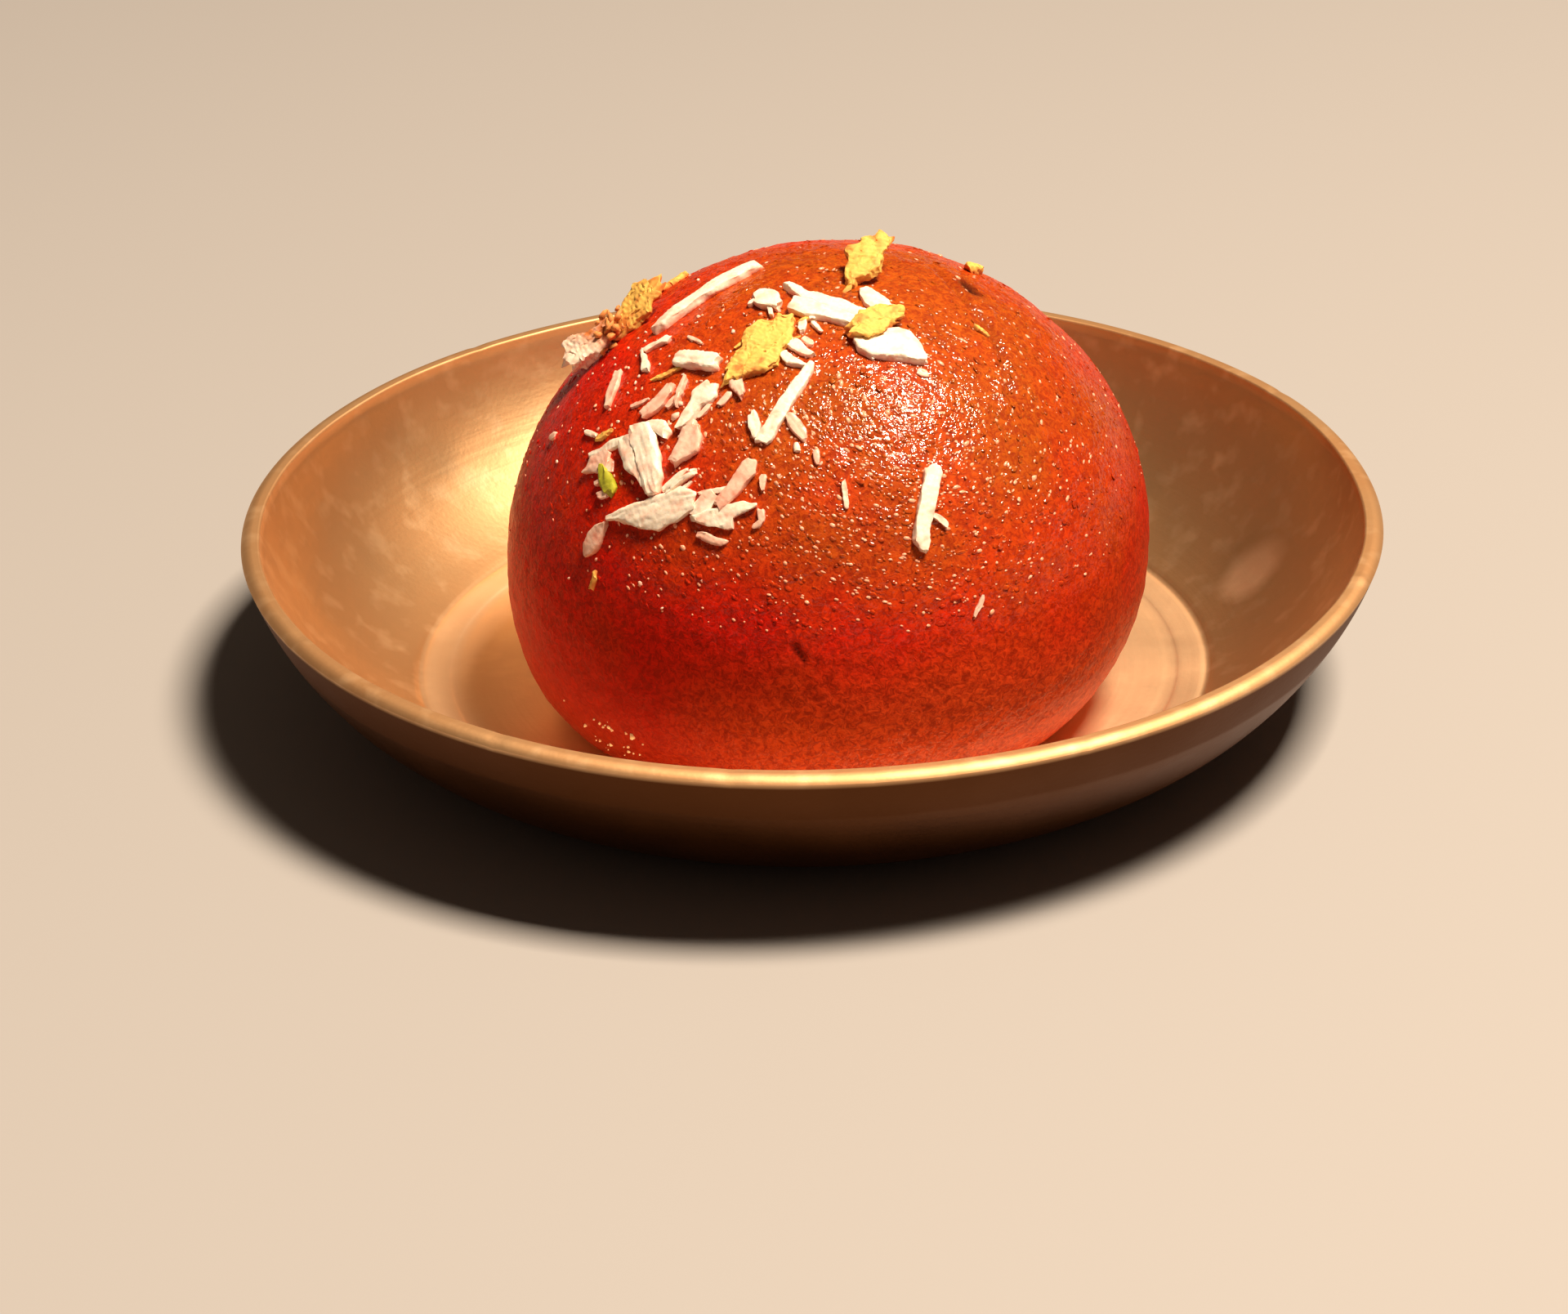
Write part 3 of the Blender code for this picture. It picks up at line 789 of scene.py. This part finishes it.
# %% Dry almonds
ALMONDS = {
    "blade_long": ((-82.5, 67.3, 108), 0.78, ((-4.9, -.35, 0), (-4.2, -.75, .3), (0, -.85, .55),
            (2.8, -.7, .85),
            (4.2, -.5, .6), (4.8, -.2, .2))),
    "blade_broad": ((-39, 29, 25), 0.62, ((-3.7, 0, .3), (-2.6, -.3, .6), (-1.3, -.9, .7), (-.3, -1.4, .8),
            (.8, -1.6, .95), (2.3, -1.3, 1.1), (3, -1, 1.3), (4, -.6, .8)),
            ((1.8, .9, 1.2), (3, 1.5, 1.9), (4.2, 2.2, 2.5))),
    "slab": ((-6.5, 76, -33), 0.7, ((-3.8, -.1, .4), (-1.5, -.9, .1), (1.5, -.5, .8), (3.4, -.2, 1.0),
            (4.0, 0, .5)),
            ((-2.0, -1.7, -.9), (-1.5, -2.4, -.8), (0, -2.3, -.6), (1.8, -1.6, -.3), (3.9, -.9, -.2))),
    "wedge": ((22, 64, -40), 0.78, ((-2.7, -.9, 0), (-2, -1.7, .3), (-1, -2, .8), (0, -1.7, 1.7),
            (1, -1.3, 1.6),
            (2.2, -1, .7), (2.9, -.6, -.3))),
    "bright": ((-45, 38, -43), 0.78, ((-2.6, -.5, .3), (-2.3, -.8, 1), (-1, -.7, 1.2), (1, -.8, 1.1),
            (2.5, -.9, .8),
            (3.2, -.8, .3), (3.5, -.2, .15))),
    "chip_left": ((-48.5, 35.2, -32), 0.7, ((-1.9, .2, 1.6), (-1, -.1, 1.5), (.3, -.2, 1.2), (1.5, .2, 1),
            (2.7, .5, .7))),
    "chip_top": ((-45, 43, -2), 0.55, ((-1.2, -.1, .1), (-.5, -.3, .5), (.3, -.5, .7), (1.1, -.5, .1))),
    "block": ((-48.5, 56.5, 21), 0.86, ((-1.5, -.5, .75), (-.5, -.65, .8), (1.2, -.8, .6), (2.1, -.85, .45),
            (2.3, -.5, .3))),
    "stub": ((-47, 74, 20), 0.7, ((-1, 0, .5), (-.5, -.9, .8), (.3, -1.2, .8), (1, -1.2, .4),
            (1.7, -1.3, -.6))),
    "shred_top": ((37, 76, -78), 0.55, ((-1.5, -.9, -.4), (-1, -1.5, -.3), (0, -2.1, -.35), (1, -2.2, -.4),
            (1.9, -1.6, -1))),
    "shred_middle": ((-12, 63.5, -23), 0.55, ((-1.6, -.1, .5), (-.9, -.3, .8), (0, -.4, .4), (1, -.2, .1)),
            ((-1.1, -1.3, -.6), (-.3, -1.7, -.9), (1.4, -1.2, -1))),
    "needle": ((-14.5, 52.5, 69), 0.58, ((-3.5, -.7, .2), (-3, -.9, .3), (0, -.75, .3), (3, -.6, .3),
            (3.9, -.3, .25))),
    "needle_foot": ((-21.8, 48.6, -61), 0.55, ((-.7, .2, .4), (-.3, -.1, .6), (.6, -.3, .6),
            (1.4, -.2, .5))),
    "nub": ((18, 32.5, 67), 0.7, ((-3.2, -.7, -.3), (-2.6, -.7, .5), (-1, -.5, .7), (1, -.6, .7),
            (2.8, -.6, .7),
            (3.2, -.3, .4))),
    "fork_low": ((-23, 30, 27), 0.55, ((-2.1, .8, 1.2), (-1, 0, 1.15), (0, -.5, 1.1), (.9, -.8, 1.05),
            (1.05, -.1, 1),
            (2.2, .1, .9), (3.1, .25, .45))),
    "fork_high": ((-27, 33, 50), 0.47, ((-1.4, -.6, .1), (-.7, -.9, .5), (.2, -.7, .6), (.9, -.4, .4))),
    "bone": ((-40, 49.5, 84), 0.62, ((-2.2, -.8, -.1), (-1.4, -1, -.1), (0, -1.1, .1), (.6, -1.5, .5),
            (1.2, -1.6, .4),
            (1.9, -1, -.1))),
    "thread": ((-58.5, 35.5, 49), 0.39, ((-1.1, -.3, 0), (0, -.8, 0), (1.5, -.8, 0), (3, -.9, -.3))),
}
for seed, (label, (place, thickness, *outlines)) in enumerate(ALMONDS.items(), 100):
    add_surfaces("sliver_" + label, [sliver(place, thickness, stations, seed) for stations in outlines],
                 almond,
                 ["almond_" + label])
hook = (-66.5, 53.8, 110)
add_surfaces("sliver_hook", [
    sliver(hook, 0.5, ((-1.6, -1.1, -.4), (-.9, -.5, .3), (-.2, .5, 1.2), (.1, .9, 1.4)), 130),
    sliver(hook, 0.5, ((0, .7, 1.4), (.7, 0, .8), (1.3, -.8, .1), (1.7, -.9, -.3)), 131),
], almond, ["almond_hook"])

# %% [markdown]
# Some slivers lay in the syrup for longer. They are soft, pink-orange and a little see-through, so they
# keep the same shape and get the wetter material.

# %% Soaked almonds
SOAKED = {
    "tongue": ((-22, 38, 60), 0.62, ((-2.4, -.9, -.1), (-1, -1.1, -.05), (.2, -1.1, .05), (1.2, -1.1, .3),
            (1.8, -.6, .1))),
    "chunk": ((-36.5, 42.2, 75), 0.7, ((-1.8, -.5, .1), (-1.1, -1, .2), (0, -1.5, .5), (.8, -1.2, .7),
            (1.4, -.7, .6),
            (1.6, -.2, .4))),
    "bundle": ((-50.5, 47.5, 75), 0.62, ((-1.6, -.4, .2), (-1, -.8, .3), (.2, -.9, .3), (1.2, -.6, .3),
            (1.7, 0, .3)),
            ((.7, -2, -1.6), (1.7, -1.3, -.8), (2.7, -.5, -.2))),
    "shred": ((-57, 31.5, 46), 0.47, ((-1, .1, .3), (0, -.2, 1.2), (1, -.9, 1.2), (1.8, -.9, 1.2))),
    "oval": ((-49, 20.2, 69), 0.62, ((-1.2, 0, .3), (-.6, -.4, .8), (.3, -.4, 1), (1.1, -.2, .8),
            (2, .05, .25))),
    "side": ((-9.3, 49, -50), 0.47, ((-1.1, -.6, -.1), (0, -.8, .2), (.8, -.7, .1), (1.4, -.6, -.2))),
    "stub": ((-28.5, 54.5, -40), 0.55, ((-1.3, -.2, .5), (-.6, -.6, .5), (.3, -.6, .2), (1, -.5, -.1))),
    "stub_left": ((-70, 43.5, -50), 0.47, ((-1.7, .5, 1.1), (-.5, .4, 1.3), (.8, .5, 1.3), (1.6, .7, 1.1))),
}
for seed, (label, (place, thickness, *outlines)) in enumerate(SOAKED.items(), 200):
    add_surfaces("soaked_sliver_" + label, [sliver(place, thickness, stations,
                                                   seed) for stations in outlines], soaked,
                 ["soaked_" + label])

# %% [markdown]
# ## Golden flakes
#
# Broader, crumbly flakes: one lies flat, one lies over an almond, and three are lifted and tipped, at the
# crest and at the left shoulder. Their faces are grainy, so they get more of the fine noise and finer
# steps. The one that hangs lowest at the shoulder is thicker and pale, and browned towards its upper edge,
# so its browning goes by height.

# %% Flakes and the green nut
CRUMBLY = {"rag": 0.14, "rough": 0.04, "grain": 0.02, "step": 0.1}
FLAKES = {
    "flat": ((-29, 63, 74), 0.8, ((-3.7, -.6, .2), (-2.5, -1.2, .9), (-1.5, -2, 1), (-.6, -2.4, 1.2),
            (.5, -1.9, 1.8),
            (1.8, -1.6, 1.8), (2.2, -1.3, 1.1), (3.2, -.7, .7), (3.7, -.2, .2)), {}),
    "curl": ((26, 69, -10), 0.8, ((-3.2, -1.6, -.6), (-2.2, -2, .6), (-1, -1.7, 1), (0, -.9, 1.1),
            (1, -.2, .8)),
            {"lift": 0.5}),
    "crest": ((60, 85, 8), 0.9, ((-3.8, -.8, -.4), (-2.5, -.9, .1), (-1.8, -1.6, .2), (-1, -2.2, .4),
            (0, -2.1, 1),
            (.4, -1.9, .8), (.7, -1.8, .2), (1.5, -1.9, -.1), (2.3, -1.9, -1.1)),
            {"lift": 1.15, "pitch": 28}),
    "standing": ((-94, 56, 108), 0.7, ((-2.6, -.8, .1), (-2, -1.2, .7), (-1, -1.6, 1.1), (0, -1.7, 1.5),
            (.6, -1.5, 1.7),
            (1.2, -1.3, .9), (2, -.9, .5)),
            {"lift": 1.1, "roll": 25, "pitch": 18}),
    "overhang": ((-92.5, 44.5, 108), 1.1, ((-2.1, -.9, .4), (-1.4, -1.4, 1.6), (-.7, -1.7, 1.5),
            (.2, -1.9, .7),
            (1.2, -1.6, .2), (1.9, -.6, .1)), {"lift": 0.9, "roll": 30}),
}
for seed, (label, (place, thickness, stations, tilt)) in enumerate(FLAKES.items(), 300):
    points, soak = sliver(place, thickness, stations, seed, **CRUMBLY, **tilt)
    material = golden
    if label == "overhang":
        material = browned
        low, high = points[..., 2].min(), points[..., 2].max()
        soak = smoothstep(low + 0.45 * (high - low), low + 0.8 * (high - low), points[..., 2])
    add_surfaces("golden_" + label, [(points, soak)], material, ["flake_" + label])
add_surfaces("green_nut", [
    sliver((-50.9, 31.6, -54), 0.6, ((-1.4, -.9, -.7), (-.6, -1.1, .0), (.2, -1, .3), (.8, -.6, .5),
                                     (1.2, -.2, .3)), 400),
], pistachio, ["pistachio_bit"])

# %% [markdown]
# ## Splinters and crumbs
#
# Between the large pieces lie splinters, less than a millimetre thick, and loose crumbs. A splinter is a
# sliver drawn from one place on the ball to another. All splinters of one kind are one joined piece.


# %% Splinters
def splinter(start, end, width, thickness, seed, **wear):
    """A sliver from one (bearing, rise) to another, a little narrower at its ends than in its middle."""
    (a, b), middle = np.radians([start, end]), np.radians(np.add(start, end) / 2)
    chord = ball_point(b[0], b[1]) - ball_point(a[0], a[1])
    axes = ball_frame(middle[0], middle[1], 0)[1]
    heading = math.degrees(math.atan2(chord @ axes[1], chord @ axes[0]))
    reach, half = np.linalg.norm(chord) / MM / 2, width / 2
    stations = ((-reach, -half * 0.5, half * 0.7), (-reach * 0.5, -half, half),
                (reach * 0.6, -half, half * 0.8),
                (reach, -half * 0.4, half * 0.5))
    return sliver((*np.degrees(middle), heading), thickness, stations, seed, step=0.1, **wear)


def add_splinters(name, rows, material, slot, first_seed, **wear):
    """Joins splinters given as (start, end, width, thickness) rows."""
    return add_surfaces(name, [splinter(*row, first_seed + k, **wear) for k, row in enumerate(rows)],
                        material)


add_splinters("almond_splinters", (
    ((1.5, 38.6), (2, 33.7), 0.4, 0.4), ((19.2, 31.2), (21.8, 28.8), 0.5, 0.5),
            ((-37.2, 33), (-33.3, 37.7), 0.5, 0.5),
    ((-36, 31.5), (-31.5, 36), 0.3, 0.3), ((10.9, 64.1), (13.5, 61), 0.4, 0.4),
            ((-13.2, 73.2), (-10, 70.2), 0.5, 0.5),
    ((-10.4, 70.2), (-5.7, 68), 0.45, 0.4), ((-9.4, 45.3), (-8.6, 43.4), 0.5, 0.4),
            ((-29, 34), (-21, 36.5), 0.4, 0.4),
    ((-50, 72.5), (-52, 71), 0.5, 0.5), ((-15.5, 70.4), (-14.6, 67.6), 0.6, 0.5),
            ((-40, 73), (-32, 70), 0.4, 0.5),
    ((-2.2, 73.4), (-1, 71), 0.5, 0.5), ((-44.5, 33.8), (-43, 36.5), 0.3, 0.4),
            ((-62, 37), (-66, 36), 0.45, 0.4),
), almond, "almond", 500)
add_splinters("soaked_splinters", (
    ((24.5, 12.6), (26.4, 15.8), 0.4, 0.3), ((-15.7, 39.2), (-15.4, 36.6), 0.5, 0.4),
            ((-15.2, 33), (-14.3, 31), 0.6, 0.4),
    ((-14.6, 31), (-16.2, 29.6), 0.5, 0.4), ((26.5, 57.4), (29.6, 56.6), 0.7, 0.3),
            ((-78.5, 30), (-77, 31.4), 0.6, 0.4),
    ((-4.8, 44), (-4.2, 41.6), 0.5, 0.4), ((-52.5, 27.8), (-50, 29.6), 0.6, 0.5),
            ((-54.5, 29.6), (-51, 32), 0.5, 0.5),
    ((-27, 27.2), (-21, 26.6), 0.7, 0.4), ((-46, 26), (-38, 26.4), 0.6, 0.4),
            ((-13.5, 66.4), (-8, 65), 0.5, 0.4),
    ((-57, 44), (-53.5, 47), 0.35, 0.4), ((-46, 47), (-44.5, 51), 0.5, 0.5),
            ((-60, 60), (-52, 60.4), 0.3, 0.3),
    ((-32, 50), (-30.5, 53), 0.6, 0.4), ((-36, 47.2), (-35, 49.5), 0.4, 0.4),
), soaked, "soaked_almond", 540)
add_splinters("golden_splinters", (
    ((-112, 56), (-124, 57.5), 0.9, 0.5), ((-47.9, 11.8), (-47.2, 15.3), 0.5, 0.4),
            ((114.5, 63), (120, 58.4), 1.0, 0.7),
    ((61.4, 61.2), (61.1, 58.2), 0.45, 0.35), ((-57, 50), (-50.5, 55), 0.35, 0.4),
            ((-17.5, 70.4), (-12, 71.6), 0.6, 0.5),
    ((-23, 64), (-16, 66), 0.5, 0.5), ((-61, 36.5), (-58, 39), 0.4, 0.4),
            ((-38, 62), (-33, 66.5), 0.3, 0.3),
), golden, "golden_flake", 580, rag=0.08, rough=0.03)

# %% [markdown]
# Crumbs are a small lumpy ball, scattered by arrays. Most lie on the left of the ball, where the nuts were
# dropped. A few lie low on its left front, by the dish, and a third scatter is heaped between the two
# flakes at the shoulder.


# %% Crumbs
def lumpy_ball(seed):
    """A unit ball of a few dozen faces whose points are pushed in and out by noise."""
    points, faces = small_ball(6, 7)
    return points * (1 + 0.35 * waves(points, 1.6, seed=seed, count=12))[:, None], faces


def add_crumbs(name, bearings, rises, radius_mm, material, seed, heap_mm=0):
    """Crumbs at these angles in degrees, of uneven size and turned at random.

    They are sunk in the syrup to their middles, or heaped up to this height.
    """
    random = np.random.default_rng(seed)
    count = len(bearings)
    places, axes = crust_place(np.radians(bearings), np.radians(rises))
    turn = random.uniform(0, math.tau, count)
    cos, sin = np.cos(turn)[:, None], np.sin(turn)[:, None]
    turned = np.stack([axes[:, 0] * cos + axes[:, 1] * sin, axes[:, 1] * cos - axes[:, 0] * sin,
                       axes[:, 2]], axis=1)
    radius = random.lognormal(math.log(radius_mm), 0.35, (count, 1)) * MM
    sizes = radius * random.uniform(0.6, 1.4, (count, 3))
    places = places + axes[:, 2] * random.uniform(0, heap_mm, (count, 1)) * MM
    shape, faces = lumpy_ball(seed)
    piece = scatter(name, shape, faces, places, turned, sizes, material)
    print(name + ":", len(piece.data.polygons), "faces")


crumb_random = np.random.default_rng(77)
add_crumbs("nut_crumbs", crumb_random.normal(-42, 24, 170),
           np.clip(crumb_random.normal(48, 15, 170), 8, 84), 0.10,
           soaked, 61)
add_crumbs("crumbs_by_the_base", crumb_random.normal(-45, 5, 26), crumb_random.uniform(-52, -28, 26), 0.09,
           almond, 62)
add_crumbs("flake_crumbs", crumb_random.normal(-93, 3, 50), crumb_random.normal(49.5, 1.8, 50), 0.24,
           crumbly,
           63, heap_mm=1.9)

# %% [markdown]
# ## Floor, light and camera
#
# The dish stands on a plain pale table. One warm lamp nearly overhead, a little to the right, makes the
# sparkle on the crust, and a dim warm room fills the shade and shows in the brass.

# %% Floor
def make_table():
    """A flat square of pale paint at the dish's foot level, left out of the object."""
    table = bpy.data.materials.new("painted_table_top")
    table.use_nodes = True
    table.node_tree.nodes["Principled BSDF"].inputs["Base Color"].default_value = linear("#A8A6A8")
    table.node_tree.nodes["Principled BSDF"].inputs["Roughness"].default_value = 0.6
    mesh = bpy.data.meshes.new("table")
    side = 1.5
    corners = [(-side, -side, 0), (side, -side, 0), (side, side, 0), (-side, side, 0)]
    mesh.from_pydata(corners, [], [(0, 1, 2, 3)])
    mesh.materials.append(table)
    plane = bpy.data.objects.new("table", mesh)
    bpy.context.scene.collection.objects.link(plane)


make_table()


# %% Lights
def add_lamp(name, direction, distance, size, power, colour):
    """A square area light this far from the ball's middle, in this direction, and turned to face it."""
    lamp = bpy.data.lights.new(name, "AREA")
    lamp.size = size
    lamp.energy = power
    lamp.color = linear(colour)[:3]
    place = bpy.data.objects.new(name, lamp)
    middle = Vector((0, 0, 0.02))
    towards = Vector(direction).normalized()
    place.location = middle + towards * distance
    place.rotation_euler = towards.to_track_quat("Z", "Y").to_euler()
    bpy.context.scene.collection.objects.link(place)


add_lamp("lamp_above", (0.33, -0.12, 0.94), 0.8, 0.2, 14.8, "#FFE8CA")
world = bpy.data.worlds.new("room")
world.use_nodes = True
world.node_tree.nodes["Background"].inputs["Color"].default_value = linear("#E8C8A8")
world.node_tree.nodes["Background"].inputs["Strength"].default_value = 0.09
bpy.context.scene.world = world

# %% Camera
camera = bpy.data.objects.new("camera", bpy.data.cameras.new("camera"))
camera.data.lens = 100
camera.data.sensor_width = 36
PITCH, YAW, ROLL = math.radians(27.04), math.radians(-0.44), math.radians(-1.23)
EYE = (0, -0.3128, 0.1610)
camera.matrix_world = (Matrix.Translation(EYE) @ Matrix.Rotation(-YAW, 4, "Z")
                       @ Matrix.Rotation(math.pi / 2 - PITCH, 4, "X") @ Matrix.Rotation(ROLL, 4, "Z"))
bpy.context.scene.collection.objects.link(camera)
bpy.context.scene.camera = camera
bpy.context.scene.view_settings.view_transform = "Standard"
